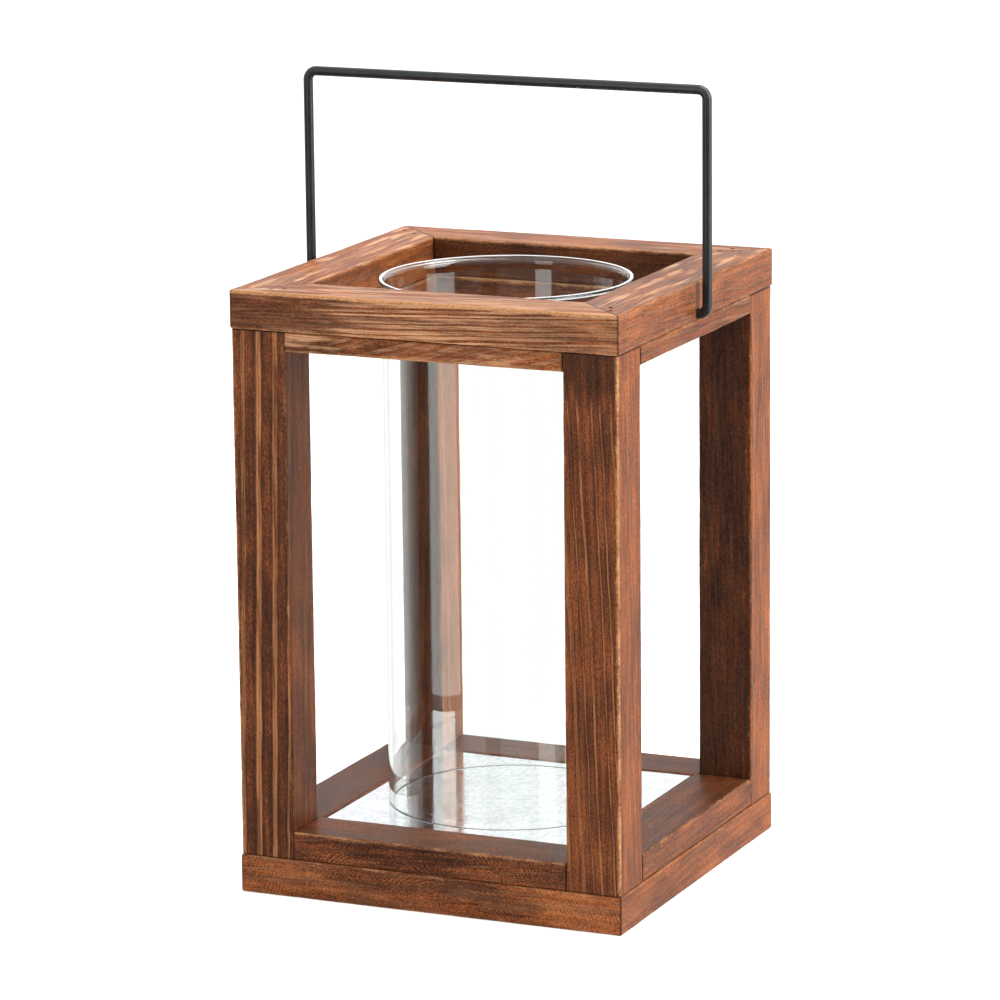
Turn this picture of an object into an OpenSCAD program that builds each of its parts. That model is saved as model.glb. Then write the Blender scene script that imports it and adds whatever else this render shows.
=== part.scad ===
// Square wooden lantern with a loose glass cylinder and a wire bail handle.
// The origin is the centre of the underside: X runs along the front, Y to the back and Z up.

/* [Frame] */
// Width and depth over the top and bottom frames
frame_w = 190; // [180:1:240]
// Height of the wooden frame
frame_h = 283; // [220:1:400]
// Thickness of the top and bottom rails
rail_t = 18; // [14:0.5:24]
// Width of a top rail, seen from above
top_rail_w = 27.7; // [26:0.1:30]
// Width of a bottom rail, whose inner edge carries the base panel
base_rail_w = 38; // [34:1:50]
// Side of a square post
post_w = 26.5; // [24:0.5:27]
// Step from a rail's outer face in to the face of a post
post_inset = 0.4; // [0.2:0.1:1]
// Radius of the eased long edges of each board
edge_r = 0.9; // [0.5:0.1:1.5]

/* [Strips between the posts] */
// Height of the aprons under the top frame
apron_h = 9; // [6:0.5:20]
// Height of the lower rails on the bottom frame
lower_rail_h = 13.2; // [13:0.1:20]
// Width of the aprons and lower rails, from outside to inside
strip_w = 29; // [28:0.1:30]

/* [Floor] */
// Thickness of the panel under the metal plate
panel_t = 12; // [6:0.5:12]
// Thickness of the metal plate
plate_t = 0.6; // [0.4:0.1:1]
// Gap round the panel and the plate
floor_gap = 0.3; // [0.1:0.1:1]

/* [Glass] */
// Outer radius of the glass cylinder
glass_r = 57.6; // [40:0.1:58]
// Thickness of the glass wall
glass_wall = 1.8; // [1.2:0.1:3]
// How far the lip stands out past the wall
lip_out = 1.6; // [0.8:0.1:2]
// Distance from the top of the frame down to the rim
rim_drop = 3.7; // [1:0.1:60]

/* [Handle] */
// Diameter of the handle's wire
wire_d = 4.5; // [3:0.1:4.8]
// How far the crossbar clears the frame's outer face when it is folded down, centre line to face
crossbar_out = 7.4; // [5:0.1:30]
// Distance from a side face out to the centre line of a leg
leg_out = 4.5; // [4.5:0.1:8]
// Height of the pivot above the underside of the top rails
pivot_up = 2.8; // [2.8:0.1:9]
// Length of wire inside a side rail
pin_reach = 18; // [10:1:22]
// Radial gap between the wire and its hole
pin_gap = 0.05; // [0.02:0.01:0.1]

/* [Nails] */
// Diameter of a nail's shank
nail_d = 1.4; // [1:0.1:2]
// Diameter of a nail's head
nail_head_d = 2.2; // [2.2:0.1:3]
// Length of a nail
nail_l = 32; // [28:1:40]
// Depth of a nail's head below the wood
nail_sink = 0.4; // [0.2:0.1:1]

/* [Hidden] */
$fn = 64;

SIDES = ["front", "right", "back", "left"];
CORNERS = ["front_left", "front_right", "back_right", "back_left"];

// Stained boards: reddish brown, with darker and lighter ones among them
stain = "#7a452c";
stain_dark = "#5d3423";
stain_light = "#8d5536";

// Each piece that repeats is made for the front, or for the front left corner, and turned to its side
frame_half = frame_w / 2;
post_out = frame_half - post_inset;
post_in = post_out - post_w;
strip_in = post_out - strip_w;
top_rail_z = frame_h - rail_t;
post_h = top_rail_z - rail_t;

floor_half = strip_in - floor_gap;
plate_z = rail_t + panel_t;

glass_z = plate_z + plate_t;
glass_h = frame_h - rim_drop - glass_z;
glass_in = glass_r - glass_wall;
foot_r = glass_wall * 0.3;
lip_r = glass_wall * 0.7;
lip_x = glass_r + lip_out - lip_r;
lip_z = glass_h - lip_r;
flare_h = 3 * lip_r;

wire_r = wire_d / 2;
pivot_z = top_rail_z + pivot_up;
hole_depth = pin_reach + 2;
leg_x = frame_half + leg_out;
// The bends start a little outside the wood, so that they turn clear of it
bend_r = leg_out - 0.3;
bend_x = leg_x - bend_r;
crossbar_z = pivot_z + frame_half + crossbar_out;

nail_head_t = 0.5;
// Brads through the top frame, driven by hand: two near each corner, as distances in from its outer faces
top_nail_spots = [
    [[17, 8], [23, 10]],
    [[18, 11], [10.8, 8]],
    [[17, 8], [20.5, 16]],
    [[14, 6], [20.5, 14]]
];
// Brads through the bottom frame, the same at each corner
base_nail_spots = [[8, 14], [14, 21]];

// Overlap that keeps a cut clear of the face it opens
cut = 1;

// Turns a piece made for the front to another side: 0 front, 1 right, 2 back, 3 left.
module to_side(index) {
    rotate([0, 0, 90 * index]) children();
}

// Outline of a board's cross-section, centred, with eased corners.
module eased_outline(size_x, size_y) {
    square([size_x - 2 * edge_r, size_y], center = true);
    square([size_x, size_y - 2 * edge_r], center = true);
    for (side_x = [-1, 1], side_y = [-1, 1])
        translate([side_x * (size_x / 2 - edge_r), side_y * (size_y / 2 - edge_r)]) circle(edge_r);
}

// Board along the front, with its outer face at y = -outer and its underside at z = 0, cut to a plan.
module front_board(length, width, height, outer, plan) {
    intersection() {
        translate([-length / 2, width / 2 - outer, height / 2])
            rotate([90, 0, 90])
                linear_extrude(length) eased_outline(width, height);
        translate([0, 0, -cut])
            linear_extrude(height + 2 * cut) polygon(plan);
    }
}

// Board of the top or bottom frame. Its ends are mitred at 45 degrees, towards the centre of the lantern.
module mitred_board(width) {
    plan = [[-frame_half, -frame_half], [frame_half, -frame_half], [0, 0]];
    front_board(frame_w, width, rail_t, frame_half, plan);
}

// Strip between two posts. Past the posts' inner faces it is mitred to the strips beside it.
module strip(height) {
    right_end = [[post_in, -frame_half], [post_in, -post_in], [strip_in, -strip_in]];
    left_end = [[-strip_in, -strip_in], [-post_in, -post_in], [-post_in, -frame_half]];
    front_board(2 * post_in, strip_w, height, post_out, concat(right_end, left_end));
}

// Nail with the top of its head at z = 0 and its point down.
module nail() {
    translate([0, 0, -nail_l]) cylinder(d = nail_d, h = nail_l - nail_head_t);
    translate([0, 0, -nail_head_t]) cylinder(d = nail_head_d, h = nail_head_t);
}

// Hole for a nail, open up to the face of the wood.
module nail_hole() {
    nail();
    cylinder(d = nail_head_d, h = nail_sink + cut);
}

module at_top_nails() {
    for (index = [0:3], spot = top_nail_spots[index])
        to_side(index)
            translate([spot[0] - frame_half, spot[1] - frame_half, frame_h - nail_sink]) children();
}

module at_base_nails() {
    for (index = [0:3], spot = base_nail_spots)
        to_side(index)
            translate([spot[0] - frame_half, spot[1] - frame_half, nail_sink])
                mirror([0, 0, 1]) children();
}

// Blind holes for the ends of the handle, one in each side rail.
module handle_holes() {
    for (side = [0, 1])
        mirror([side, 0, 0])
            translate([frame_half - hole_depth, 0, pivot_z])
                rotate([0, 90, 0])
                    cylinder(r = wire_r + pin_gap, h = hole_depth + cut);
}

module top_rail(index) {
    color(index == 0 ? stain : stain_light)
        difference() {
            to_side(index) translate([0, 0, top_rail_z]) mitred_board(top_rail_w);
            at_top_nails() nail_hole();
            handle_holes();
        }
}

module apron(index) {
    color(stain_dark)
        to_side(index) translate([0, 0, top_rail_z - apron_h]) strip(apron_h);
}

module post(index) {
    post_mid = post_out - post_w / 2;
    color(index % 2 == 0 ? stain_dark : stain)
        difference() {
            to_side(index)
                translate([-post_mid, -post_mid, rail_t])
                    linear_extrude(post_h) eased_outline(post_w, post_w);
            at_top_nails() nail_hole();
            at_base_nails() nail_hole();
        }
}

module lower_rail(index) {
    color(stain)
        to_side(index) translate([0, 0, rail_t]) strip(lower_rail_h);
}

module base_rail(index) {
    color(stain_light)
        difference() {
            to_side(index) mitred_board(base_rail_w);
            at_base_nails() nail_hole();
        }
}

module base_panel() {
    color("#b08d62")
        translate([-floor_half, -floor_half, rail_t]) cube([2 * floor_half, 2 * floor_half, panel_t]);
}

module metal_plate() {
    color("#d5d9dc")
        translate([-floor_half, -floor_half, plate_z]) cube([2 * floor_half, 2 * floor_half, plate_t]);
}

// Half section of the glass: a foot with rounded corners, a straight wall and a rolled lip that flares out.
module glass_section() {
    translate([glass_in + foot_r, 0]) square([glass_wall - 2 * foot_r, 2 * foot_r]);
    for (x = [glass_in + foot_r, glass_r - foot_r])
        translate([x, foot_r]) circle(foot_r);
    translate([glass_in, foot_r]) square([glass_wall, lip_z - flare_h - foot_r]);
    polygon([
        [glass_in, lip_z - flare_h - cut], [glass_r, lip_z - flare_h - cut], [glass_r, lip_z - flare_h],
        [lip_x + lip_r, lip_z], [lip_x - lip_r, lip_z], [glass_in, lip_z - flare_h]
    ]);
    translate([lip_x, lip_z]) circle(lip_r);
}

module glass_cylinder() {
    color("#d8e6e4", 0.35)
        translate([0, 0, glass_z]) rotate_extrude($fn = 128) glass_section();
}

// Quarter bend of the wire: it starts upwards at x = bend_r and turns in to run along -X.
module bend() {
    rotate([90, 0, 0]) rotate_extrude(angle = 90) translate([bend_r, 0]) circle(wire_r);
}

// Right half of the handle, from the middle of the crossbar round to the end inside the side rail.
module half_handle() {
    pin_end = frame_half - pin_reach;
    translate([0, 0, crossbar_z]) rotate([0, 90, 0]) cylinder(r = wire_r, h = bend_x);
    translate([bend_x, 0, crossbar_z - bend_r]) bend();
    translate([leg_x, 0, pivot_z + bend_r]) cylinder(r = wire_r, h = crossbar_z - pivot_z - 2 * bend_r);
    translate([bend_x, 0, pivot_z + bend_r]) mirror([0, 0, 1]) bend();
    translate([pin_end, 0, pivot_z]) rotate([0, 90, 0]) cylinder(r = wire_r, h = bend_x - pin_end);
}

module wire_handle() {
    color("#1c1f1e")
        for (side = [0, 1])
            mirror([side, 0, 0]) half_handle();
}

module top_nails() {
    color("#4a4642") at_top_nails() nail();
}

module base_nails() {
    color("#4a4642") at_base_nails() nail();
}

for (index = [0:3]) {
    top_rail(index);
    apron(index);
    post(index);
    lower_rail(index);
    base_rail(index);
}
base_panel();
metal_plate();
glass_cylinder();
wire_handle();
top_nails();
base_nails();
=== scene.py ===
"""Looks of the wooden lantern: stained boards, clear glass, wire handle, sheet-metal floor and nails.

Everything is in metres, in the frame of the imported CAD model, and takes its place from that model.
"""

import math
from dataclasses import dataclass

import bmesh
import bpy
import numpy as np
from mathutils import Matrix, Vector, noise


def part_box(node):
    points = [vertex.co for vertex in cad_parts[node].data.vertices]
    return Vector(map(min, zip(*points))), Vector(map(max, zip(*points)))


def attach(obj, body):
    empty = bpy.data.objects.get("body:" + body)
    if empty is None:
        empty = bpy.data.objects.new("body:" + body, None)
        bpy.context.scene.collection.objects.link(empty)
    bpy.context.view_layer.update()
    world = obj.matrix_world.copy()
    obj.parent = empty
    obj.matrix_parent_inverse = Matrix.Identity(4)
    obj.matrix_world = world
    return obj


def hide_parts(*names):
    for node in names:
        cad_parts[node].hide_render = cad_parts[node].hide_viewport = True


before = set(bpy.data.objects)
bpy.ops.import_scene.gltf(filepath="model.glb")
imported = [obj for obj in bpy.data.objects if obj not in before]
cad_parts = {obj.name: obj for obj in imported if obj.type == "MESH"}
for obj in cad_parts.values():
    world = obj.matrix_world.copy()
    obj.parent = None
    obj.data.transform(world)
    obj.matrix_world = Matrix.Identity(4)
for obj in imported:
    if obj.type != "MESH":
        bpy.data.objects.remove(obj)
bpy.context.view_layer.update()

MM = 0.001
SIDES = ("front", "right", "back", "left")
CORNERS = ("front_left", "front_right", "back_right", "back_left")


# ---- Camera, light and backdrop ----

# The photo's viewpoint, solved from the corners of the frame: angles, distance, lens and aim, in metres
VIEW_AZIMUTH = math.radians(23.841)
VIEW_ELEVATION = math.radians(12.420)
VIEW_ROLL = math.radians(-0.592)
VIEW_DISTANCE = 2.4011
VIEW_LENS_MM = 185.45
AIM_HEIGHT = 0.152
AIM_SIDE = -0.0039
AIM_UP = 0.0212
# Strength of the backdrop where it is seen, and half the width of the floor
SEEN_STRENGTH = 1.2
FLOOR_HALF = 8.0


def direction(azimuth, elevation):
    """Unit vector out from the lantern. Azimuth 0 is its front and 90 its right side, in radians."""
    level = math.cos(elevation)
    return Vector((math.sin(azimuth) * level, -math.cos(azimuth) * level, math.sin(elevation)))


def add_camera():
    """Long lens from the front right, a little above the lantern."""
    back = direction(VIEW_AZIMUTH, VIEW_ELEVATION)
    right = Vector((math.cos(VIEW_AZIMUTH), math.sin(VIEW_AZIMUTH), 0))
    up = back.cross(right)
    centre = Vector((0, 0, AIM_HEIGHT)) + right * AIM_SIDE + up * AIM_UP
    turned_right = right * math.cos(VIEW_ROLL) + up * math.sin(VIEW_ROLL)
    turned_up = up * math.cos(VIEW_ROLL) - right * math.sin(VIEW_ROLL)
    data = bpy.data.cameras.new("camera")
    data.lens = VIEW_LENS_MM
    data.sensor_width = 36
    camera = bpy.data.objects.new("camera", data)
    turn = Matrix((turned_right, turned_up, back)).transposed().to_4x4()
    camera.matrix_world = Matrix.Translation(centre + back * VIEW_DISTANCE) @ turn
    bpy.context.scene.collection.objects.link(camera)
    bpy.context.scene.camera = camera


def add_softbox(name, azimuth, elevation, distance, size, power):
    """Rectangular white light that faces the middle of the lantern. size is (width, height)."""
    data = bpy.data.lights.new(name, "AREA")
    data.shape = "RECTANGLE"
    data.size, data.size_y = size
    data.energy = power
    lamp = bpy.data.objects.new(name, data)
    out = direction(math.radians(azimuth), math.radians(elevation))
    lamp.location = out * distance + Vector((0, 0, AIM_HEIGHT))
    lamp.rotation_euler = out.to_track_quat("Z", "Y").to_euler()
    lamp.visible_camera = False
    bpy.context.scene.collection.objects.link(lamp)


def add_world():
    """White studio, a little brighter behind the lantern. Below the horizon it is dim, except behind.

    What the camera sees, bare or straight through the glass, is always bright. So the backdrop stays white
    and the glass stays clear from every side."""
    world = bpy.data.worlds.new("studio")
    bpy.context.scene.world = world
    world.use_nodes = True
    tree = world.node_tree
    background = tree.nodes["Background"]
    background.inputs["Color"].default_value = (1, 1, 1, 1)
    place = tree.nodes.new("ShaderNodeTexCoord").outputs["Generated"]

    def share(towards, low, high):
        """Smooth step of how far the ray points towards a direction."""
        dot = tree.nodes.new("ShaderNodeVectorMath")
        dot.operation = "DOT_PRODUCT"
        dot.inputs[1].default_value = towards
        tree.links.new(place, dot.inputs[0])
        ramp = tree.nodes.new("ShaderNodeMapRange")
        ramp.interpolation_type = "SMOOTHSTEP"
        ramp.inputs["From Min"].default_value = low
        ramp.inputs["From Max"].default_value = high
        tree.links.new(dot.outputs["Value"], ramp.inputs["Value"])
        return ramp.outputs["Result"]

    def math_node(operation, *values):
        """Maths node whose inputs are numbers or sockets."""
        made = tree.nodes.new("ShaderNodeMath")
        made.operation = operation
        for socket, value in zip(made.inputs, values):
            if isinstance(value, float):
                socket.default_value = value
            else:
                tree.links.new(value, socket)
        return made.outputs[0]

    behind = share(-direction(VIEW_AZIMUTH, 0), 0.1, 0.65)
    below = share((0, 0, -1), -0.3, 0.08)
    away_from_behind = math_node("MULTIPLY_ADD", below, -0.8, 1.0)
    extra_behind = math_node("MULTIPLY_ADD", below, 0.8, 0.2)
    around = math_node("MULTIPLY_ADD", behind, extra_behind, away_from_behind)
    ray = tree.nodes.new("ShaderNodeLightPath").outputs
    unreflected = math_node("LESS_THAN", ray["Glossy Depth"], 0.5)
    through = math_node("MULTIPLY", ray["Is Transmission Ray"], unreflected)
    seen = math_node("MAXIMUM", through, ray["Is Camera Ray"])
    bright_seen = math_node("MULTIPLY", seen, SEEN_STRENGTH)
    tree.links.new(math_node("MAXIMUM", around, bright_seen), background.inputs["Strength"])


def add_floor():
    """Large pale floor under the lantern."""
    mesh = bpy.data.meshes.new("floor")
    corners = [(x * FLOOR_HALF, y * FLOOR_HALF, 0) for x, y in ((-1, -1), (1, -1), (1, 1), (-1, 1))]
    mesh.from_pydata(corners, [], [(0, 1, 2, 3)])
    floor = bpy.data.objects.new("floor", mesh)
    bpy.context.scene.collection.objects.link(floor)
    paint = Shader("floor_paint")
    paint.put("Base Color", (0.8, 0.8, 0.8, 1))
    paint.put("Roughness", 0.9)
    paint.put("Specular IOR Level", 0.0)
    paint.put("Emission Color", (1, 1, 1, 1))
    paint.put("Emission Strength", 0.45)
    mesh.materials.append(paint.material)
    floor.visible_glossy = False
    floor.visible_transmission = False


def add_studio():
    """Camera, lights and backdrop."""
    add_camera()
    add_world()
    add_floor()
    add_softbox("right_softbox", 95, 26, 1.2, (0.6, 1.0), 13.4)
    add_softbox("right_low_softbox", 92, -16, 1.2, (0.7, 0.9), 5.0)
    add_softbox("front_left_softbox", -13, 10, 1.4, (0.42, 1.0), 3.5)
    add_softbox("left_softbox", -80, 12, 1.5, (0.5, 1.0), 0.6)
    add_softbox("top_softbox", 120, 72, 1.5, (1.2, 1.2), 20)
    bpy.context.scene.view_settings.view_transform = "Standard"


# ---- Shader building ----


def colour(code):
    """Linear colour from a web colour code such as 7a452c."""
    srgb = [int(code[i : i + 2], 16) / 255 for i in (0, 2, 4)]
    linear = [c / 12.92 if c <= 0.04045 else ((c + 0.055) / 1.055) ** 2.4 for c in srgb]
    return (*linear, 1.0)


class Shader:
    """One material with a Principled shader.

    Inputs are numbers, which stay on a node, or sockets, which are linked."""

    def __init__(self, name):
        self.material = bpy.data.materials.new(name)
        self.material.use_nodes = True
        self.tree = self.material.node_tree
        self.surface = self.tree.nodes["Principled BSDF"]

    def fill(self, socket, value):
        """Links a socket to another, or sets its number."""
        if isinstance(value, bpy.types.NodeSocket):
            self.tree.links.new(value, socket)
        else:
            socket.default_value = value

    def put(self, name, value):
        """Sets an input of the Principled shader."""
        self.fill(self.surface.inputs[name], value)

    def node(self, kind, inputs, **settings):
        """New node of a kind, with its inputs by name or number, and its settings."""
        made = self.tree.nodes.new("ShaderNode" + kind)
        for name, value in settings.items():
            setattr(made, name, value)
        for key, value in inputs.items():
            self.fill(made.inputs[key], value)
        return made

    def math(self, operation, *values, clamp=False):
        inputs = dict(enumerate(values))
        return self.node("Math", inputs, operation=operation, use_clamp=clamp).outputs[0]

    def vector(self, operation, *values):
        made = self.node("VectorMath", dict(enumerate(values)), operation=operation)
        return made.outputs["Value" if operation == "LENGTH" else "Vector"]

    def scaled(self, vector, factor):
        """A vector times one number."""
        made = self.node("VectorMath", {0: vector, "Scale": factor}, operation="SCALE")
        return made.outputs["Vector"]

    def mix(self, share, a, b):
        """Colour a with a share of colour b."""
        made = self.node("Mix", {0: share, 6: a, 7: b}, data_type="RGBA", clamp_factor=True)
        return made.outputs[2]

    def ramp(self, value, low, high, to_low=0.0, to_high=1.0):
        """Smooth step of value from low to high."""
        inputs = {"Value": value, "From Min": low, "From Max": high, "To Min": to_low, "To Max": to_high}
        return self.node("MapRange", inputs, interpolation_type="SMOOTHSTEP").outputs["Result"]

    def noise(self, place, stretch, detail=2.0, roughness=0.5):
        """Noise from 0 to 1 whose grains have the size stretch, in the units of place."""
        return self.noise_node(place, stretch, detail, roughness).outputs[0]

    def unit_noise(self, place, stretch, detail=2.0, roughness=0.5):
        """Noise spread to run from about -1 to 1."""
        return self.math("MULTIPLY_ADD", self.noise(place, stretch, detail, roughness), 4.0, -2.0)

    def drift(self, place, stretch):
        """Three noises from -0.5 to 0.5, to bend a place with."""
        return self.vector("SUBTRACT", self.noise_node(place, stretch).outputs["Color"], (0.5, 0.5, 0.5))

    def noise_node(self, place, stretch, detail=2.0, roughness=0.5):
        """Noise node whose grains have the size stretch."""
        place = self.vector("DIVIDE", place, stretch)
        inputs = {"Vector": place, "Scale": 1.0, "Detail": detail, "Roughness": roughness}
        return self.node("TexNoise", inputs)

    def attribute(self, kind, name):
        return self.node("Attribute", {}, attribute_type=kind, attribute_name=name).outputs

    def number(self, name):
        """A number that the object holds."""
        return self.attribute("OBJECT", name)["Fac"]

    def numbers(self, name):
        """Three numbers that the object holds."""
        return self.attribute("OBJECT", name)["Vector"]

    def layer(self, name):
        """A number that the mesh holds at each vertex."""
        return self.attribute("GEOMETRY", name)["Fac"]

    def object_place(self):
        """Place in the object's own frame, in metres."""
        return self.node("TexCoord", {}).outputs["Object"]

    def bump(self, height, strength, distance):
        """Relief on the surface, distance being the depth in metres of a height of 1."""
        made = self.node("Bump", {"Strength": strength, "Distance": distance, "Height": height})
        self.put("Normal", made.outputs["Normal"])


# ---- Materials ----


def ring_radius(s, grain, place):
    """Distance from the pith, whose line leans and wanders through the board."""
    along = s.node("SeparateXYZ", {0: grain}).outputs["X"]
    pith = s.vector("ADD", s.numbers("pith"), s.scaled(s.numbers("lean"), along))
    wander = s.scaled(s.drift(place, (70.0, 26.0, 26.0)), s.number("wander"))
    ripple = s.scaled(s.drift(place, (16.0, 5.0, 5.0)), 0.7)
    bent = s.vector("ADD", s.vector("SUBTRACT", s.vector("ADD", grain, wander), pith), ripple)
    return s.vector("LENGTH", s.vector("MULTIPLY", bent, (0.0, 1.0, 1.0)))


def growth_rings(s, grain, place, seed):
    """Pale line of late wood in each ring, and the darker halo beside it, both from 0 to 1.

    The rings are of uneven width, and each has its own strength of line."""
    years = s.math("DIVIDE", ring_radius(s, grain, place), s.number("ring_gap"))
    uneven = s.node(
        "TexNoise", {"W": s.math("ADD", years, seed), "Scale": 0.45, "Detail": 1.0}, noise_dimensions="1D"
    )
    years = s.math("ADD", years, s.math("MULTIPLY", uneven.outputs[0], 1.1))
    ring = s.math("FLOOR", s.math("ADD", years, 0.5))
    luck = s.node("TexWhiteNoise", {"W": s.math("ADD", ring, seed)}, noise_dimensions="1D").outputs["Value"]
    near = s.math("ABSOLUTE", s.math("SUBTRACT", years, ring))
    share = s.math("MULTIPLY", s.number("line_share"), s.math("MULTIPLY_ADD", luck, 0.35, 0.18))
    line = s.ramp(near, s.math("MULTIPLY", share, 1.35), s.math("MULTIPLY", share, 0.45))
    broken = s.ramp(s.noise(place, (38.0, 2.2, 2.2), 3.0, 0.6), 0.36, 0.58, 0.25, 1.0)
    strength = s.math("MULTIPLY", broken, s.math("MULTIPLY_ADD", luck, -0.55, 1.0))
    line = s.math("MULTIPLY", line, s.math("MULTIPLY", strength, s.layer("lines")))
    # A line is a little weaker in its middle than at its edges
    middle = s.ramp(near, s.math("MULTIPLY", share, 0.1), s.math("MULTIPLY", share, 0.5), 0.55, 1.0)
    halo = s.ramp(near, 0.42, 0.08)
    return s.math("MULTIPLY", line, middle), halo


def saw_marks(s, grain, place, seed):
    """Arcs cut by a round saw about a centre beside the board: -1 in a cut, a little over 0 between."""
    parts = s.node("SeparateXYZ", {0: grain}).outputs
    along = s.math("MULTIPLY_ADD", s.math("SINE", s.math("MULTIPLY", seed, 2.4)), 55.0, parts["X"])
    aside = s.math("ADD", s.math("ADD", parts["Y"], parts["Z"]), 48.0)
    reach = s.math("SQRT", s.math("ADD", s.math("POWER", along, 2.0), s.math("POWER", aside, 2.0)))
    reach = s.math("MULTIPLY_ADD", s.unit_noise(place, (9.0, 9.0, 9.0)), 0.9, reach)
    step = s.math("FRACT", s.math("DIVIDE", reach, 1.7))
    cut = s.ramp(s.math("ABSOLUTE", s.math("SUBTRACT", step, 0.5)), 0.04, 0.22, -1.0, 0.1)
    where = s.ramp(s.noise(place, (24.0, 6.0, 6.0), 4.0, 0.7), 0.48, 0.62)
    return s.math("MULTIPLY", s.math("MULTIPLY", cut, where), s.number("sawn"))


def stain_colours(s, tone):
    """Colour of the stained wood, from the deepest at 0 to the palest at 1."""
    ramp = s.node("ValToRGB", {"Fac": tone})
    elements = ramp.color_ramp.elements
    elements.remove(elements[1])
    elements[0].color = colour("27140c")
    for position, code in ((0.28, "4d2814"), (0.5, "78401f"), (0.72, "9c5a2d"), (1.0, "c08048")):
        elements.new(position).color = colour(code)
    return ramp.outputs["Color"]


def stained_pine():
    """Pine with solid growth rings: early wood took the stain, and late wood stands out as pale lines.

    Each board holds its own rings and tone as object properties. Its mesh holds `grain`, the place in the
    board in millimetres (along, across, through), `lines`, `bare` and the stain layer for what differs from
    face to face, the stain layer also holding painted light on a face, `worn` for rubbed edges and `joint`
    for the ends."""
    s = Shader("stained_pine")
    grain = s.attribute("GEOMETRY", "grain")["Vector"]
    seed = s.number("seed")
    place = s.vector("ADD", grain, s.scaled((31.0, 17.0, 23.0), seed))
    line, halo = growth_rings(s, grain, place, seed)
    saw = saw_marks(s, grain, place, seed)

    # Fibres, fuzz left by the saw, and blotches in the stain
    fibre = s.unit_noise(place, (22.0, 0.55, 0.55), 3.0, 0.6)
    streak = s.unit_noise(place, (45.0, 1.8, 1.8), 3.0, 0.6)
    fuzz = s.unit_noise(place, (1.5, 0.6, 0.6), 3.0, 0.7)
    hair_place = s.node("Mapping", {"Vector": place, "Rotation": (0.0, 0.5, 0.75)}).outputs["Vector"]
    hair = s.unit_noise(hair_place, (4.5, 0.55, 0.8), 2.0, 0.6)
    blotch = s.unit_noise(place, (34.0, 15.0, 15.0), 3.0, 0.6)

    # The stain varies in blotches, streaks and fibres, and is deeper in the saw cuts
    hairiness = s.math("MULTIPLY_ADD", s.number("sawn"), 0.12, 0.08)
    # The stain layer adds each face's offset, which includes painted light on a face
    tone = s.math("ADD", s.number("tone"), s.layer("stain"))
    marks = ((blotch, 0.14), (streak, 0.11), (fibre, 0.07), (fuzz, 0.2), (hair, hairiness), (saw, 0.24))
    for mark, amount in marks:
        tone = s.math("MULTIPLY_ADD", mark, amount, tone)
    stain = stain_colours(s, s.math("MULTIPLY_ADD", halo, -0.1, tone, clamp=True))

    # Dry wood and late wood took less of it
    bare = s.ramp(s.noise(place, (36.0, 5.0, 5.0), 4.0, 0.6), 0.5, 0.66)
    bare = s.math("MULTIPLY", bare, s.layer("bare"))
    bare = s.math("MULTIPLY", bare, s.math("MULTIPLY_ADD", fibre, 0.4, 0.7, clamp=True))
    wood = s.mix(bare, stain, colour("cc9871"))
    paleness = s.math("MULTIPLY_ADD", fibre, 0.3, s.number("blond"), clamp=True)
    pale = s.mix(paleness, colour("b26d38"), colour("e2b48a"))
    wood = s.mix(s.math("MULTIPLY", line, s.math("MULTIPLY_ADD", fuzz, 0.15, 0.9, clamp=True)), wood, pale)

    # Rubbed edges show bare wood, and dirt and stain gather at the joints
    rag = s.unit_noise(place, (7.0, 1.2, 1.2), 4.0, 0.65)
    rubbed = s.math("MULTIPLY_ADD", fuzz, 0.12, s.math("MULTIPLY_ADD", rag, 0.32, s.layer("worn")))
    bare_tone = s.math("MULTIPLY_ADD", fuzz, 0.45, 0.45, clamp=True)
    bare_wood = s.mix(bare_tone, colour("8f5832"), colour("d2a172"))
    wood = s.mix(s.ramp(rubbed, 0.2, 1.05, 0.0, 0.8), wood, bare_wood)
    joint = s.math("MULTIPLY_ADD", fuzz, 0.25, s.layer("joint"))
    s.put("Base Color", s.mix(s.ramp(joint, 0.4, 1.0, 0.0, 0.8), wood, colour("1d100b")))

    gloss = s.math("MULTIPLY_ADD", fuzz, 0.05, 0.42)
    gloss = s.math("MULTIPLY_ADD", line, -0.06, gloss)
    s.put("Roughness", s.math("MULTIPLY_ADD", blotch, 0.04, gloss))
    s.put("Specular IOR Level", 0.11)

    # Relief in millimetres: late wood stands up, fibres and saw marks cut in
    height = s.math("MULTIPLY", line, 0.05)
    for mark in (fibre, fuzz, saw, hair):
        height = s.math("MULTIPLY_ADD", mark, 0.03, height)
    s.bump(height, 0.8, MM)
    return s.material


def clear_glass():
    """Clear soda glass, barely green, with a painted grey shade where it is seen edge on."""
    s = Shader("clear_glass")
    facing = s.node("LayerWeight", {"Blend": 0.5}).outputs["Facing"]
    # Painted shade: the colour turns grey towards the edge-on silhouette of the glass
    s.put("Base Color", s.mix(s.ramp(facing, 0.72, 0.94), colour("fcfffd"), colour("8d9995")))
    s.put("Transmission Weight", 1.0)
    s.put("IOR", 1.5)
    place = s.object_place()
    smear = s.noise(place, (0.03, 0.03, 0.09), 3.0, 0.6)
    s.put("Roughness", s.ramp(smear, 0.62, 0.9, 0.0, 0.035))
    return s.material


def rim_highlight_glass():
    """White, matt lip of the glass, faintly mottled: a painted highlight on the rim."""
    s = Shader("rim_highlight_glass")
    place = s.object_place()
    mottle = s.noise(place, (0.0015, 0.0015, 0.0015), 3.0, 0.6)
    s.put("Base Color", s.mix(mottle, colour("ffffff"), colour("eef3f0")))
    s.put("Roughness", s.math("MULTIPLY_ADD", mottle, 0.2, 0.3))
    s.put("IOR", 1.5)
    s.put("Transmission Weight", 0.25)
    return s.material


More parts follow.
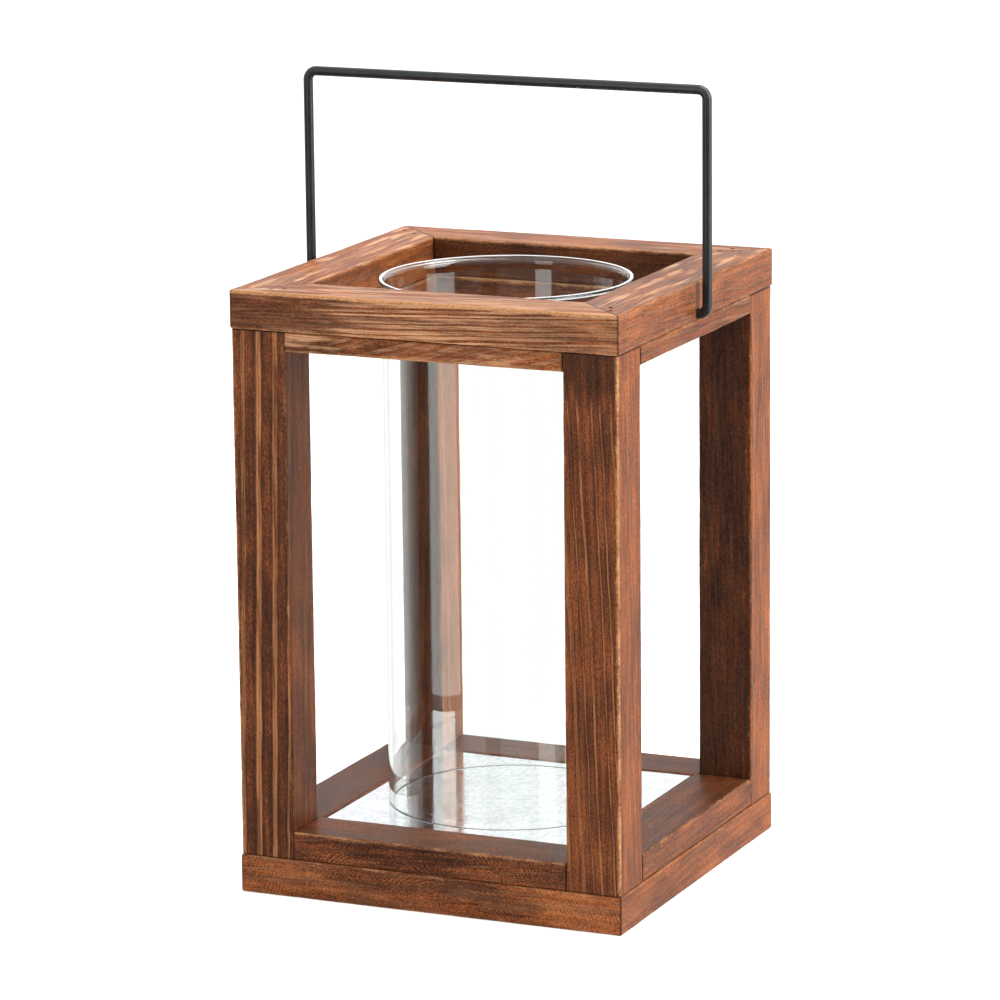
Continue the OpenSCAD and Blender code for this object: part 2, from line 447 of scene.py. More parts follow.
def black_wire():
    """Satin black paint on wire, with fine specks and a cloudy gloss."""
    s = Shader("black_wire")
    place = s.object_place()
    specks = s.noise(place, (0.0006, 0.0006, 0.0006), 3.0, 0.6)
    cloud = s.noise(place, (0.012, 0.012, 0.012), 2.0)
    s.put("Base Color", s.mix(s.ramp(cloud, 0.3, 0.7), colour("101211"), colour("191c1b")))
    gloss = s.math("MULTIPLY_ADD", specks, 0.12, 0.26)
    s.put("Roughness", s.math("MULTIPLY_ADD", cloud, 0.08, gloss))
    s.bump(specks, 0.25, 0.02 * MM)
    return s.material


def sheet_metal():
    """Bright galvanised sheet: pale spangle, a fine orange peel and faint rolling streaks."""
    s = Shader("sheet_metal")
    place = s.object_place()
    orange_peel = s.noise(place, (0.0022, 0.0032, 0.0022), 3.0, 0.65)
    streaks = s.noise(place, (0.03, 0.0012, 0.02), 3.0, 0.6)
    mottle = s.noise(place, (0.014, 0.012, 0.012), 5.0, 0.7)
    spangle_place = s.vector("DIVIDE", place, (0.006, 0.006, 0.006))
    spangle = s.node("TexVoronoi", {"Vector": spangle_place, "Scale": 1.0}).outputs["Color"]
    flake = s.node("SeparateColor", {0: spangle}).outputs["Red"]
    dull = s.ramp(s.math("MULTIPLY_ADD", flake, 0.18, mottle), 0.45, 0.8)
    tint = s.mix(dull, colour("f0f1f4"), colour("dfe2e6"))
    s.put("Base Color", s.mix(s.ramp(orange_peel, 0.46, 0.66, 0.0, 0.6), tint, colour("c6cbd2")))
    s.put("Metallic", 1.0)
    rough = s.math("MULTIPLY_ADD", dull, 0.1, 0.06)
    s.put("Roughness", s.math("MULTIPLY_ADD", streaks, 0.06, rough))
    height = s.math("MULTIPLY_ADD", flake, 0.1, s.math("MULTIPLY", streaks, 0.3))
    height = s.math("ADD", orange_peel, height)
    s.bump(height, 0.5, 0.05 * MM)
    return s.material


def fibreboard():
    """Pressed fibreboard under the metal: short pale and dark fibres."""
    s = Shader("fibreboard")
    place = s.object_place()
    fibres = s.noise(place, (0.0022, 0.0007, 0.0005), 4.0, 0.7)
    cross = s.noise(place, (0.0007, 0.0025, 0.0005), 4.0, 0.7)
    cloud = s.noise(place, (0.02, 0.02, 0.02), 3.0)
    mixed = s.math("MULTIPLY_ADD", cross, 0.5, s.math("MULTIPLY", fibres, 0.5))
    base = s.mix(s.ramp(mixed, 0.36, 0.64), colour("8a6842"), colour("bd9765"))
    s.put("Base Color", s.mix(s.ramp(cloud, 0.35, 0.7, 0.0, 0.35), base, colour("75553a")))
    s.put("Roughness", s.math("MULTIPLY_ADD", mixed, 0.2, 0.7))
    s.bump(mixed, 0.5, 0.08 * MM)
    return s.material


def nail_steel():
    """Dull steel brads, darkened by stain and a little rust."""
    s = Shader("nail_steel")
    place = s.object_place()
    rust = s.ramp(s.noise(place, (0.0008, 0.0008, 0.0008), 4.0, 0.7), 0.45, 0.65)
    s.put("Base Color", s.mix(rust, colour("6b6661"), colour("3d2c22")))
    s.put("Metallic", s.math("MULTIPLY_ADD", rust, -0.7, 0.9))
    s.put("Roughness", s.math("MULTIPLY_ADD", rust, 0.35, 0.35))
    return s.material


# ---- Mesh building ----


def add_mesh(name, points, faces, material, body, replaced):
    """New closed piece from points and faces, smooth, riding on a body and standing for CAD nodes."""
    mesh = bpy.data.meshes.new(name)
    mesh.from_pydata([tuple(p) for p in points], [], faces)
    work = bmesh.new()
    work.from_mesh(mesh)
    if work.calc_volume(signed=True) < 0:
        bmesh.ops.reverse_faces(work, faces=work.faces)
    work.to_mesh(mesh)
    work.free()
    mesh.shade_smooth()
    mesh.materials.append(material)
    piece = bpy.data.objects.new(name, mesh)
    bpy.context.scene.collection.objects.link(piece)
    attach(piece, body)
    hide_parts(*replaced)
    return piece


def ring_faces(rings, count, closed_along=False):
    """Quads between rings of points that lie one after another, count points in each."""
    faces = []
    for i in range(rings if closed_along else rings - 1):
        a = i * count
        b = (i + 1) % rings * count
        for k in range(count):
            n = (k + 1) % count
            faces.append((a + k, a + n, b + n, b + k))
    return faces


def sharpen(mesh, angle):
    """Keeps a hard edge where faces meet at more than the angle, in degrees."""
    mesh.set_sharp_from_angle(angle=math.radians(angle))


# ---- Boards ----


@dataclass
class Look:
    """How one board was cut, stained and rubbed, with lengths in millimetres.

    A board's own X runs along its grain. Its four long faces are counted as low across, low through, high
    across and high through. A rail's outer face is low across and its top is high through, and a post's two
    outer faces are low across and low through."""

    # Middle of the growth rings, across and through, and how fast it drifts along the board
    pith: tuple
    lean: tuple
    # Mean width of a ring, how far the rings wander, and the share of each that is pale late wood
    ring_gap: float
    wander: float = 5.0
    line_share: float = 0.6
    # How clearly the pale lines show on each long face, and how pale they are
    lines: tuple = (0.4, 0.3, 0.15, 0.3)
    blond: float = 0.5
    # Stain, from 0 for the deepest to 1 for the palest, and what each long face adds to it: some inner
    # faces are set darker, and a face is set lighter as painted light
    tone: float = 0.42
    faces: tuple = (0, 0, 0, 0)
    # More stain in places: (face from 0 to 3, middle along the board, reach, what it adds)
    patches: tuple = ()
    # How much pale dry wood shows through on each long face, and how strong the saw marks are
    bare: tuple = (0, 0, 0, 0)
    sawn: float = 0.2
    # How worn the four long edges are, in the order of EDGES
    rubbed: tuple = (0.4, 0.3, 0.4, 0.6)


LOOKS = {
    "top_rail_front": Look(
        (-30, -110), (0, 0.05), 2.3, wander=2.5, line_share=1, lines=(0.95, 0.5, 0.2, 0.7), blond=0.7,
        tone=0.44, faces=(0, 0, 0, 0.05), patches=((0, -84, 50, -0.11), (0, 66, 36, -0.06)),
        bare=(0.25, 0, 0, 0.5), rubbed=(0.6, 0.3, 0.4, 1.9),
    ),
    "top_rail_right": Look(
        (-40, 26), (0.03, -0.03), 2.4, line_share=0.8, lines=(0.12, 0.2, 0.1, 0.4), blond=0.7,
        tone=0.46, faces=(0.02, 0, -0.12, 0), patches=((3, 20, 40, -0.06),), bare=(0, 0, 0, 0.8),
        rubbed=(0.4, 0.3, 0.5, 0.5),
    ),
    "top_rail_back": Look(
        (30, -38), (0.02, 0.04), 2.6, lines=(0.4, 0.3, 0.06, 0.4), tone=0.5, faces=(0, 0, -0.2, 0.05),
        patches=((3, -60, 40, -0.08), (3, 40, 20, -0.06)), bare=(0, 0, 0, 0.5),
        rubbed=(0.3, 0.4, 0.8, 0.6),
    ),
    "top_rail_left": Look(
        (-26, -70), (0.06, -0.02), 3, lines=(0.4, 0.3, 0.1, 0.4), blond=0.7, tone=0.5,
        faces=(0, 0, -0.02, 0.05), bare=(0, 0, 0, 1), rubbed=(0.3, 0.4, 0.6, 0.8),
    ),
    "post_front_left": Look(
        (-170, -90), (0.02, 0), 7, wander=2, line_share=0.36, lines=(0.6, 0.85, 0.2, 0.4), blond=0.2,
        tone=0.3, faces=(0.05, 0, 0.04, 0), sawn=0.1, rubbed=(0.8, 0.35, 0.2, 0.4),
    ),
    "post_front_right": Look(
        (-64, 70), (-0.04, 0.02), 4.2, wander=3, line_share=0.26, lines=(0.6, 0.3, 0.3, 0.3),
        blond=0.15, tone=0.4, faces=(0, 0.07, 0, 0), patches=((0, 122, 22, -0.21),), sawn=0.15,
        rubbed=(0.95, 0.3, 0.2, 0.5),
    ),
    "post_back_right": Look(
        (30, 34), (0.02, 0.05), 4.2, wander=7, line_share=0.4, lines=(0.3, 0.3, 0.04, 0.04), tone=0.45,
        faces=(0.04, 0, -0.3, -0.27), sawn=0.1, rubbed=(0.5, 0.3, 0.3, 0.3),
    ),
    # Its right inner face is set lighter: painted light on that face
    "post_back_left": Look(
        (50, 40), (0.02, 0.02), 4.4, wander=4, line_share=0.4, lines=(0.3, 0.3, 0.1, 0.8), tone=0.34,
        faces=(0, 0, -0.12, 0.3), sawn=0.1, rubbed=(0.3, 0.2, 0.1, 0.2),
    ),
    "apron_front": Look(
        (-12, -46), (0, 0.3), 4.2, wander=9, line_share=0.8, lines=(0.5, 0.5, 0.2, 0.2),
        patches=((0, -60, 26, -0.12), (0, -5, 12, 0.08)), bare=(0.8, 0, 0, 0),
        rubbed=(0.7, 0.4, 0.3, 0.4),
    ),
    "apron_right": Look((20, -30), (0.05, 0), 3.4, wander=6, lines=(0.2, 0.3, 0.1, 0.2)),
    "apron_back": Look(
        (26, -34), (0.04, 0.03), 3, wander=6, lines=(0.3, 0.3, 0.06, 0.3), tone=0.36,
        rubbed=(0.4, 0.3, 0.9, 0.4),
    ),
    "apron_left": Look((-26, -30), (0.03, 0), 3.4, wander=6, lines=(0.4, 0.4, 0.1, 0.3), tone=0.4),
    "lower_rail_front": Look(
        (-30, 26), (0.04, 0.1), 3, wander=7, lines=(0.12, 0.2, 0.1, 0.1), tone=0.37,
        faces=(0, 0, 0, -0.06), patches=((0, -10, 30, -0.12), (3, 20, 24, 0.06)), sawn=1.5,
        rubbed=(0.2, 0.2, 0.4, 0.7),
    ),
    "lower_rail_right": Look(
        (24, 40), (0.03, 0.01), 3.4, wander=7, lines=(0.12, 0.2, 0.1, 0.08), tone=0.38,
        faces=(0.08, 0, 0, -0.1), sawn=0.8, rubbed=(0.2, 0.2, 0.4, 0.5),
    ),
    "lower_rail_back": Look(
        (30, 30), (0.02, 0.01), 3, lines=(0.3, 0.3, 0.06, 0.1), tone=0.36, rubbed=(0.2, 0.2, 0.35, 0.4),
    ),
    "lower_rail_left": Look(
        (-30, 40), (0.03, 0.01), 3.6, lines=(0.3, 0.3, 0.1, 0.08), tone=0.36, faces=(0, 0, 0, -0.14),
        rubbed=(0.2, 0.2, 0.3, 0.4),
    ),
    "base_rail_front": Look(
        (30, -40), (0.03, 0.05), 3.4, wander=9, line_share=0.7, lines=(0.14, 0.3, 0.2, 0.3), tone=0.48,
        patches=((0, -40, 36, -0.08), (0, 75, 24, 0.06), (0, 20, 18, -0.07)), bare=(0.1, 0, 0, 0),
        sawn=1, rubbed=(0.4, 0.2, 0.2, 0.5),
    ),
    "base_rail_right": Look(
        (30, 40), (0.04, 0.03), 3.4, wander=9, lines=(0.12, 0.3, 0.2, 0.3), tone=0.54,
        patches=((0, -30, 30, -0.05),), sawn=0.8, rubbed=(0.4, 0.2, 0.2, 0.4),
    ),
    "base_rail_back": Look((-30, -40), (0.03, 0.03), 3.2, wander=6),
    "base_rail_left": Look((-30, 40), (0.03, 0.03), 3.4, wander=6),
}

# Signs of a board's four long edges, across and through it
EDGES = ((-1, -1), (1, -1), (1, 1), (-1, 1))
# Radius that the long edges are eased to, and how much it varies
EASED_MM = 1.0
EASED_SPREAD_MM = 0.35
ARC_STEPS = 4
# Distance between points on a board's faces
POINT_STEP_MM = 1.3
# Gap at each end, where two boards would touch, and the easing of the end's rim
END_GAP_MM = 0.03
END_EASE_MM = 0.35
# Depth of the hollows and dents in the faces
RELIEF_MM = 0.09
# How far wear reaches from an edge, and dirt from a joint
WORN_REACH_MM = 2.3
JOINT_REACH_MM = 1.6
# Room round a nail's head and round the handle's wire, and depth of the handle's hole
NAIL_CLEAR_MM = 0.15
HANDLE_CLEAR_MM = 0.3
HANDLE_HOLE_MM = 20


def wavy(x, y, z):
    """Smooth noise from about -1 to 1."""
    return noise.noise(Vector((x, y, z)))


def section(half_across, half_through, eased, inset):
    """Outline of a board with its own eased radius at each corner, as points across and through it."""
    outline = []
    count = len(EDGES)
    corners = []
    for corner, (side_a, side_t) in enumerate(EDGES):
        radius = eased[corner]
        centre_a = side_a * (half_across - radius)
        centre_t = side_t * (half_through - radius)
        start = math.pi + corner * math.pi / 2
        bend = []
        for step in range(ARC_STEPS + 1):
            angle = start + step / ARC_STEPS * math.pi / 2
            reach = max(radius - inset, 0.05)
            bend.append((centre_a + reach * math.cos(angle), centre_t + reach * math.sin(angle)))
        corners.append(bend)
    for corner in range(count):
        outline += corners[corner]
        start, stop = corners[corner][-1], corners[(corner + 1) % count][0]
        width = 2 * (half_across if corner % 2 == 0 else half_through)
        steps = max(2, round(width / POINT_STEP_MM))
        for step in range(1, steps):
            share = step / steps
            outline.append(tuple(a + (b - a) * share for a, b in zip(start, stop)))
    return outline


def board_points(size, half_length, seed):
    """Points of a board in its own frame, in millimetres: rings of as many points each, along it."""
    half_across, half_through = size[1] / 2, size[2] / 2
    shares = np.linspace(-1, 1, round(size[0] / POINT_STEP_MM) + 1)
    # Two rings round each end over, from the flat end to the full section
    end_rings = []
    for angle in (0, math.pi / 4):
        end_rings.append((END_EASE_MM * (1 - math.cos(angle)), END_EASE_MM * (1 - math.sin(angle))))
    stations = [(-1, back, inset) for back, inset in end_rings]
    stations += [(share, END_EASE_MM, 0.0) for share in shares]
    stations += [(1, back, inset) for back, inset in reversed(end_rings)]
    rings = []
    for share, back, inset in stations:
        where = share * size[0] / 2
        eased = []
        for corner in range(len(EDGES)):
            uneven = wavy(where / 14, corner * 7.3, seed) + 0.6 * wavy(where / 3, corner, seed)
            eased.append(EASED_MM + EASED_SPREAD_MM * uneven)
        ring = []
        for across, through in section(half_across, half_through, eased, inset):
            reach = half_length(across) - END_GAP_MM
            along = math.copysign(reach - back, share)
            if abs(share) < 1:
                along = share * (reach - END_EASE_MM)
            ring.append((along, across, through))
        rings.append(ring)
    return rings


def roughened(rings, size, seed):
    """Presses the faces in a little, in long shallow hollows with small dents, and leaves the ends flat."""
    half_across, half_through = size[1] / 2, size[2] / 2

    def pressed(value, half, depth):
        """Moves a value inwards if it is on a face, and leaves one that is not."""
        on_face = abs(value) > half - EASED_MM * 1.5
        return value - math.copysign(depth, value) * on_face

    made = []
    for index, ring in enumerate(rings):
        fade = min(1.0, min(index, len(rings) - 1 - index) / 4)
        for along, across, through in ring:
            depth = 0.5 + 0.9 * wavy(along / 45, across / 4, through / 4 + seed)
            depth += 0.5 * wavy(along / 9, across / 1.8, through / 1.8 - seed)
            depth = RELIEF_MM * fade * min(max(depth, 0.0), 1.4)
            made.append((along, pressed(across, half_across, depth), pressed(through, half_through, depth)))
    return made


def write_layer(mesh, name, values):
    """Gives each vertex a number, or three numbers, under a name that the shader reads."""
    kind, field = ("FLOAT", "value") if values.ndim == 1 else ("FLOAT_VECTOR", "vector")
    layer = mesh.attributes.new(name, kind, "POINT")
    layer.data.foreach_set(field, values.ravel().astype(np.float32))


def worn_edges(place, half_across, half_through, rubbed, seed):
    """How worn each point is, which is most on the long edges and varies along them."""
    worn = np.zeros(len(place))
    for (side_a, side_t), strength in zip(EDGES, rubbed):
        away = np.hypot(half_across - side_a * place[:, 1], half_through - side_t * place[:, 2])
        near = np.clip(1 - away / WORN_REACH_MM, 0, 1)
        length_wise = np.array([wavy(x / 17, seed, side_a * 3 + side_t) for x in place[:, 0]])
        worn = np.maximum(worn, near * strength * (1.05 + 0.8 * length_wise))
    return worn


def face_shares(place, half_across, half_through):
    """Share of each long face at a point: 1 on the face, and less round its eased edges."""
    across, through = place[:, 1], place[:, 2]
    depths = (half_across + across, half_through + through, half_across - across, half_through - through)
    shares = np.clip(1 - np.stack(depths) / EASED_MM, 0.01, 1)
    return shares / shares.sum(0)


def paint_board(mesh, inverse, size, half_length, look, seed):
    """Writes the layers that the wood shader reads."""
    place = np.empty(len(mesh.vertices) * 3)
    mesh.vertices.foreach_get("co", place)
    to_board = np.array(inverse)
    place = (place.reshape(-1, 3) @ to_board[:3, :3].T + to_board[:3, 3]) / MM
    half_across, half_through = size[1] / 2, size[2] / 2
    reach = np.array([half_length(y) for y in place[:, 1]]) - np.abs(place[:, 0])
    write_layer(mesh, "grain", place)
    write_layer(mesh, "worn", worn_edges(place, half_across, half_through, look.rubbed, seed))
    write_layer(mesh, "joint", np.clip(1 - reach / JOINT_REACH_MM, 0, 1))

    shares = face_shares(place, half_across, half_through)
    # Each long face's offset, partly stain: some inner faces are set darker, and a face is set lighter as
    # painted light
    stain = np.array(look.faces, float) @ shares
    lines = np.array(look.lines, float) @ shares
    for face, middle, reach_along, amount in look.patches:
        drift = np.array([wavy(x / 25, y / 2.5, z / 2.5 + seed) for x, y, z in place])
        near = np.clip(2.5 - 2.5 * (np.abs(place[:, 0] - middle) / reach_along + 0.4 * drift), 0, 1)
        patch = amount * near * shares[face]
        stain += patch
        lines *= np.clip(1 + 8 * patch, 0, 1)
    write_layer(mesh, "stain", stain)
    write_layer(mesh, "lines", lines)
    write_layer(mesh, "bare", np.array(look.bare, float) @ shares)


def set_look(piece, look, seed):
    """Object properties that the wood shader reads."""
    piece["seed"] = float(seed)
    for name in ("pith", "lean"):
        across, through = getattr(look, name)
        piece[name] = (0.0, float(across), float(through))
    for name in ("ring_gap", "wander", "line_share", "tone", "sawn", "blond"):
        piece[name] = float(getattr(look, name))


def bore(piece, cutters):
    """Cuts cylinders out of a piece. Each is (start, end, radius) in metres."""
    if not cutters:
        return
    tool = bmesh.new()
    for start, end, radius in cutters:
        line = end - start
        turn = line.to_track_quat("Z", "Y").to_matrix().to_4x4()
        bmesh.ops.create_cone(
            tool,
            cap_ends=True,
            segments=32,
            radius1=radius,
            radius2=radius,
            depth=line.length,
            matrix=Matrix.Translation((start + end) / 2) @ turn,
        )
    mesh = bpy.data.meshes.new("cutters")
    tool.to_mesh(mesh)
    tool.free()
    cutter = bpy.data.objects.new("cutters", mesh)
    bpy.context.scene.collection.objects.link(cutter)
    cut = piece.modifiers.new("bore", "BOOLEAN")
    cut.operation = "DIFFERENCE"
    cut.solver = "EXACT"
    cut.object = cutter
    depsgraph = bpy.context.evaluated_depsgraph_get()
    bored = bpy.data.meshes.new_from_object(piece.evaluated_get(depsgraph), depsgraph=depsgraph)
    piece.modifiers.clear()
    piece.data = bored
    bored.name = piece.name
    bpy.data.objects.remove(cutter)
    bpy.data.meshes.remove(mesh)


def add_board(name, size, placing, half_length, seed, material, cutters=()):
    """Board with its grain along its own X. placing takes its own frame to the lantern's."""
    look = LOOKS[name]
    rings = board_points(size, half_length, seed)
    count = len(rings[0])
    points = [placing @ (Vector(p) * MM) for p in roughened(rings, size, seed)]
    faces = ring_faces(len(rings), count)
    faces.append(tuple(reversed(range(count))))
    last = (len(rings) - 1) * count
    faces.append(tuple(last + k for k in range(count)))
    piece = add_mesh(f"{name}_wood", points, faces, material, "frame", [name])
    bore(piece, cutters)
    paint_board(piece.data, placing.inverted(), size, half_length, look, seed)
    set_look(piece, look, seed)
    sharpen(piece.data, 50)


def turned(index):
    """Quarter turns from the front, or from the front left corner."""
    return Matrix.Rotation(index * math.pi / 2, 4, "Z")


def island_boxes(node):
    """Lowest and highest corner of each separate solid in a CAD node, in metres."""
    work = bmesh.new()
    work.from_mesh(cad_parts[node].data)
    bmesh.ops.remove_doubles(work, verts=work.verts, dist=1e-7)
    left = set(work.verts)
    boxes = []
    while left:
        stack = [left.pop()]
        found = []
        while stack:
            vertex = stack.pop()
            found.append(vertex.co.copy())
            for edge in vertex.link_edges:
                other = edge.other_vert(vertex)
                if other in left:
                    left.remove(other)
                    stack.append(other)
        low = Vector(map(min, zip(*found)))
        high = Vector(map(max, zip(*found)))
        boxes.append((low, high))
    work.free()
    return sorted(boxes, key=lambda box: tuple(box[0]))


def nail_cutters(nails, face_z, low, high):
    """Holes from the face at face_z down to the heads of the nails that lie over the box low to high."""
    cutters = []
    for nail_low, nail_high in nails:
        middle = (nail_low + nail_high) / 2
        if not (low.x < middle.x < high.x and low.y < middle.y < high.y):
            continue
        radius = (nail_high.x - nail_low.x) / 2 + NAIL_CLEAR_MM * MM
        head_z = nail_high.z if face_z > middle.z else nail_low.z
        inward = math.copysign(MM, middle.z - face_z)
        start = Vector((middle.x, middle.y, face_z - inward))
        end = Vector((middle.x, middle.y, head_z + inward))
        cutters.append((start, end, radius))
    return cutters


def handle_cutters(side):
    """Hole for the end of the handle in a side rail, side being -1 for the left and 1 for the right."""
    low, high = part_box("wire_handle")
    radius = (high.y - low.y) / 2
    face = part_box("top_rail_right")[1].x
    start = Vector((side * (face + 2 * MM), 0, low.z + radius))
    end = Vector((side * (face - HANDLE_HOLE_MM * MM), 0, low.z + radius))
    return [(start, end, radius + HANDLE_CLEAR_MM * MM)]


def add_rails(kind, nails, first_seed, material):
    """The four rails of a kind in the places of their CAD nodes, with holes for the nails and handle."""
    post_in = -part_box("post_front_left")[1].x / MM
    low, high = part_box(f"{kind}_front")
    size = (high - low) / MM
    centre = (low + high) / 2
    outer = -low.y / MM

    def mitred(across):
        return outer - size.y / 2 - across

    def between_posts(across):
        return min(post_in, mitred(across))

    half_length = mitred if kind in ("top_rail", "base_rail") else between_posts
    nailed_z = high.z if kind == "top_rail" else low.z
    for index, side in enumerate(SIDES):
        name = f"{kind}_{side}"
        placing = turned(index) @ Matrix.Translation((0, centre.y, centre.z))
        cutters = nail_cutters(nails, nailed_z, *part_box(name))
        if name in ("top_rail_left", "top_rail_right"):
            cutters += handle_cutters(-1 if side == "left" else 1)
        add_board(name, size, placing, half_length, first_seed + index, material, cutters)


def add_posts(first_seed, material):
    """The four posts, each in the place of its CAD node."""
    low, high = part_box("post_front_left")
    # A post's own X runs up, its Y across the front and its Z to the back
    upright = Matrix(((0, 1, 0, 0), (0, 0, 1, 0), (1, 0, 0, 0), (0, 0, 0, 1)))
    size = Vector((high.z - low.z, high.x - low.x, high.y - low.y)) / MM

    def square(across):
        return size[0] / 2

    for index, corner in enumerate(CORNERS):
        placing = turned(index) @ Matrix.Translation((low + high) / 2) @ upright
        add_board(f"post_{corner}", size, placing, square, first_seed + index, material)


def add_boards(material):
    """All the wooden boards, each with its own seed for its grain and wear."""
    nails = {"top_rail": island_boxes("top_nails"), "base_rail": island_boxes("base_nails")}
    seed = 1
    for kind in ("top_rail", "apron", "lower_rail", "base_rail"):
        add_rails(kind, nails.get(kind, ()), seed, material)
        seed += len(SIDES)
    add_posts(seed, material)


# ---- Glass, handle, floor and nails ----


def arc(centre_x, centre_z, radius, start, stop, steps):
    """Points on an arc in the XZ plane, angles in degrees."""
    angles = [math.radians(start + (stop - start) * k / steps) for k in range(steps + 1)]
    return [(centre_x + radius * math.cos(a), centre_z + radius * math.sin(a)) for a in angles]


def lathe(profile, segments):
    """Points and faces of a closed profile of (radius, height) turned about Z."""
    points = []
    for step in range(segments):
        angle = 2 * math.pi * step / segments
        points += [(r * math.cos(angle), r * math.sin(angle), z) for r, z in profile]
    return points, ring_faces(segments, len(profile), closed_along=True)


# Gap under the glass, where it would touch the plate
FOOT_GAP_MM = 0.05
# Inside bends of the handle, and length of its wire inside a side rail
WIRE_BEND_MM = 4.2
PIN_REACH_MM = 18
# Easing of the rims of the plate and the panel
SHEET_EASE_MM = 0.4


def glass_profile(low_z, high, inner, outer):
    """Closed outline of the glass wall, as (radius, height), and the height where its white rim, a painted
    highlight, starts.
    """
    wall = outer - inner
    foot = wall * 0.12
    foot_z = low_z + foot + FOOT_GAP_MM * MM
    bead = wall * 0.7
    lip_x, lip_z = high.x - bead, high.z - bead
    flare = 1.4 * bead

    def flared(straight_x, end_x, share):
        """Point on the curve from the straight wall out to the lip."""
        out = 1 - math.cos(share * math.pi / 2)
        return straight_x + (end_x - straight_x) * out, lip_z - flare * (1 - share)

    # A ring just above the foot keeps the shading of the wall even
    heights = [foot_z, *np.linspace(foot_z + foot, lip_z - flare, 60)]
    profile = arc(outer - foot, foot_z, foot, -90, 0, 4)
    profile += [(outer, z) for z in heights[1:]]
    profile += [flared(outer, lip_x + bead, share) for share in (0.25, 0.5, 0.75)]
    profile += arc(lip_x, lip_z, bead, 0, 180, 12)
    profile += [flared(inner, lip_x - bead, share) for share in (0.75, 0.5, 0.25)]
    profile += [(inner, z) for z in reversed(heights)]
    profile += arc(inner + foot, foot_z, foot, 180, 270, 4)[1:]
    return profile, lip_z + 0.86 * bead


def add_glass(material, rim_highlight_material):
    """Tube of glass with a fire-polished foot and a rolled lip, white on top as a painted highlight, and
    faintly uneven.
    """
    low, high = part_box("glass_cylinder")
    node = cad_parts["glass_cylinder"].data
    radii = np.array([math.hypot(v.co.x, v.co.y) for v in node.vertices])
    heights = np.array([v.co.z for v in node.vertices])
    inner = radii.min()
    outer = radii[heights < (low.z + high.z) / 2].max()
    profile, rim_highlight_z = glass_profile(low.z, high, inner, outer)
    points, faces = lathe(profile, 192)
    made = []
    for x, y, z in points:
        pull = 1 - 0.0006 * (0.5 + 0.5 * wavy(x / 0.05, y / 0.05, z / 0.12))
        made.append((x * pull, y * pull, z))
    glass = add_mesh(
        "glass_cylinder_clear", made, faces, material, "glass", ["glass_cylinder"]
    )
    glass.data.materials.append(rim_highlight_material)
    # Faces above that height get the white lip, a painted highlight
    for face in glass.data.polygons:
        face.material_index = int(face.center.z > rim_highlight_z)
    glass.visible_shadow = False


def sweep(path, radius, sides):
    """Round tube along a flat path in the XZ plane, closed at both ends."""
    aside = Vector((0, 1, 0))
    points = []
    for k, here in enumerate(path):
        before, after = path[max(k - 1, 0)], path[min(k + 1, len(path) - 1)]
        up = aside.cross((after - before).normalized())
        for step in range(sides):
            angle = 2 * math.pi * step / sides
            points.append(here + radius * (up * math.cos(angle) + aside * math.sin(angle)))
    faces = ring_faces(len(path), sides)
    faces.append(tuple(reversed(range(sides))))
    faces.append(tuple((len(path) - 1) * sides + k for k in range(sides)))
    return points, faces


def add_handle(material):
    """Bent wire bail: crossbar, two legs and two ends that turn in the side rails."""
    low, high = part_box("wire_handle")
    radius = (high.y - low.y) / 2
    leg_x = high.x - radius
    top_z = high.z - radius
    pivot_z = low.z + radius
    bend = WIRE_BEND_MM * MM
    pin_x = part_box("top_rail_right")[1].x - PIN_REACH_MM * MM
    half = [(0, top_z), (leg_x - bend, top_z)]
    half += arc(leg_x - bend, top_z - bend, bend, 90, 0, 14)[1:]
    half += [(leg_x, z) for z in np.linspace(top_z - bend, pivot_z + bend, 40)[1:]]
    half += arc(leg_x - bend, pivot_z + bend, bend, 0, -90, 14)[1:]
    half += [(pin_x, pivot_z)]
    right = [Vector((x, 0, z)) for x, z in half]
    left = [Vector((-x, 0, z)) for x, z in reversed(half[1:])]
    points, faces = sweep(left + right, radius, 28)
    handle = add_mesh(
        "wire_handle_painted", points, faces, material, "handle", ["wire_handle"]
    )
    sharpen(handle.data, 60)


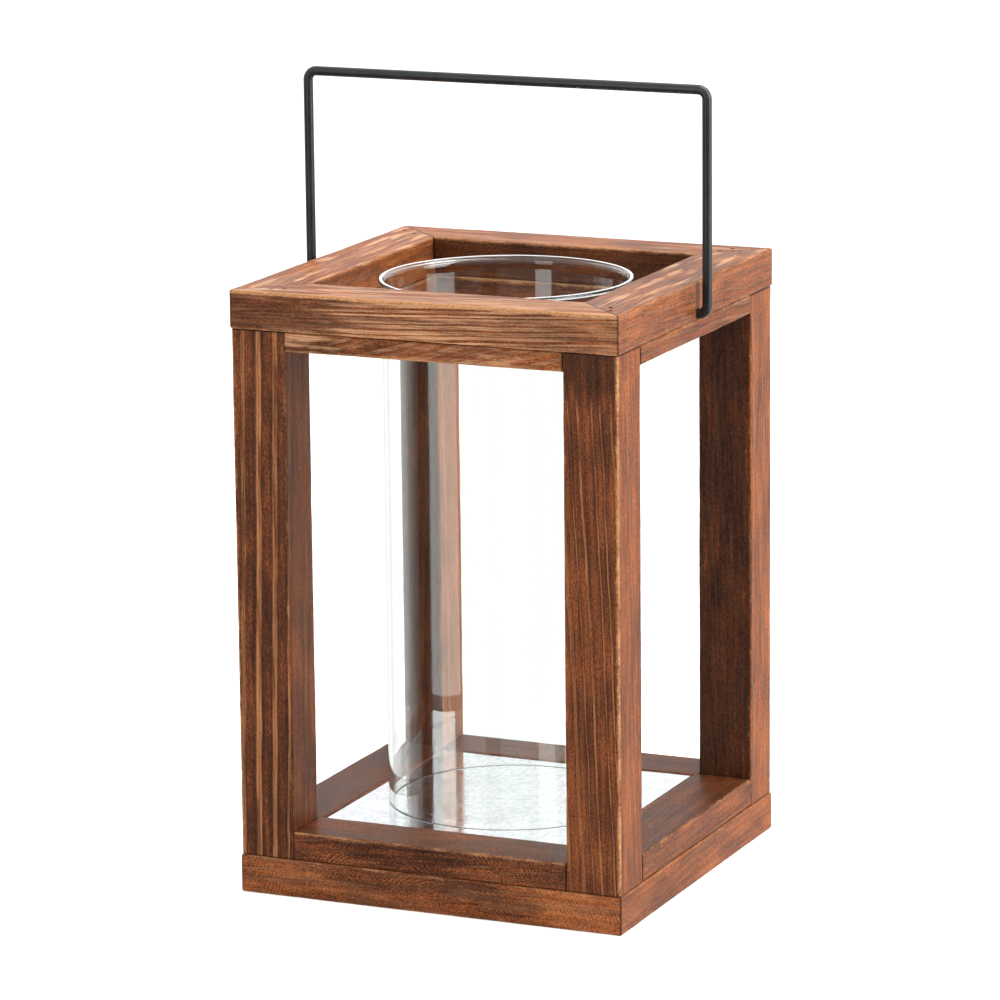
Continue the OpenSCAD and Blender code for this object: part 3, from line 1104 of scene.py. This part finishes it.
def add_sheet(name, node, material, step, dish):
    """Square sheet or panel in the place of a CAD node, slightly dished, with eased edges."""
    low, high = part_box(node)
    half = (high.x - low.x) / 2
    ease = min((high.z - low.z) / 2, SHEET_EASE_MM * MM)
    count = round(2 * half / step)
    rows = np.linspace(ease - half, half - ease, count + 1)
    work = bmesh.new()
    top, bottom = {}, {}
    for i, x in enumerate(rows):
        for j, y in enumerate(rows):
            sag = dish * (0.5 + 0.5 * wavy(x / 0.03, y / 0.03, half * 100))
            top[i, j] = work.verts.new((x, y, high.z - sag))
            bottom[i, j] = work.verts.new((x, y, low.z))
    for i in range(count):
        for j in range(count):
            square = [(i, j), (i + 1, j), (i + 1, j + 1), (i, j + 1)]
            work.faces.new([top[key] for key in square])
            work.faces.new([bottom[key] for key in reversed(square)])
    border = [(i, 0) for i in range(count)] + [(count, j) for j in range(count)]
    border += [(count - i, count) for i in range(count)] + [(0, count - j) for j in range(count)]
    upper, lower = {}, {}
    for key in border:
        x, y = rows[key[0]], rows[key[1]]
        reach = half / max(abs(x), abs(y))
        upper[key] = work.verts.new((x * reach, y * reach, top[key].co.z - ease))
        lower[key] = work.verts.new((x * reach, y * reach, low.z + ease))
    for here, there in zip(border, border[1:] + border[:1]):
        for above, below in ((top, upper), (upper, lower), (lower, bottom)):
            work.faces.new([above[here], below[here], below[there], above[there]])
    bmesh.ops.remove_doubles(work, verts=work.verts, dist=1e-6)
    bmesh.ops.recalc_face_normals(work, faces=work.faces)
    work.verts.index_update()
    points = [v.co.copy() for v in work.verts]
    faces = [tuple(v.index for v in face.verts) for face in work.faces]
    work.free()
    sheet = add_mesh(name, points, faces, material, "frame", [node])
    sharpen(sheet.data, 40)


def add_nails(name, node, material, heads_up):
    """Brads in the places of a CAD node's: a shank that comes to a point and a domed, hammered head."""
    points, faces = [], []
    dent = 0.04 * MM
    for index, (low, high) in enumerate(island_boxes(node)):
        radius = (high.x - low.x) / 2
        length = high.z - low.z
        shank = radius * 0.62
        # The head from its middle out, then the shank down to its point, as (radius, height)
        profile = [(1e-5, 0), (radius * 0.5, -0.03 * MM), (radius * 0.85, -0.1 * MM)]
        profile += [(radius, -0.25 * MM), (radius, -0.4 * MM), (shank, -0.5 * MM)]
        profile += [(shank, 1.5 * MM - length), (1e-5, -length)]
        turned_points, turned_faces = lathe(profile, 24)
        middle = (low + high) / 2
        offset = len(points)
        for x, y, z in turned_points:
            z += dent * wavy(x / 0.0008, y / 0.0008, index) - dent
            points.append((middle.x + x, middle.y + y, high.z + z if heads_up else low.z - z))
        faces += [tuple(offset + v for v in face) for face in turned_faces]
    add_mesh(name, points, faces, material, "frame", [node])


# ---- The lantern ----

add_studio()
add_boards(stained_pine())
add_glass(clear_glass(), rim_highlight_glass())
add_handle(black_wire())
add_sheet("metal_plate_sheet", "metal_plate", sheet_metal(), 1.5 * MM, 0.015 * MM)
add_sheet("base_panel_board", "base_panel", fibreboard(), 2.5 * MM, 0.0)
steel = nail_steel()
add_nails("top_nails_steel", "top_nails", steel, heads_up=True)
add_nails("base_nails_steel", "base_nails", steel, heads_up=False)
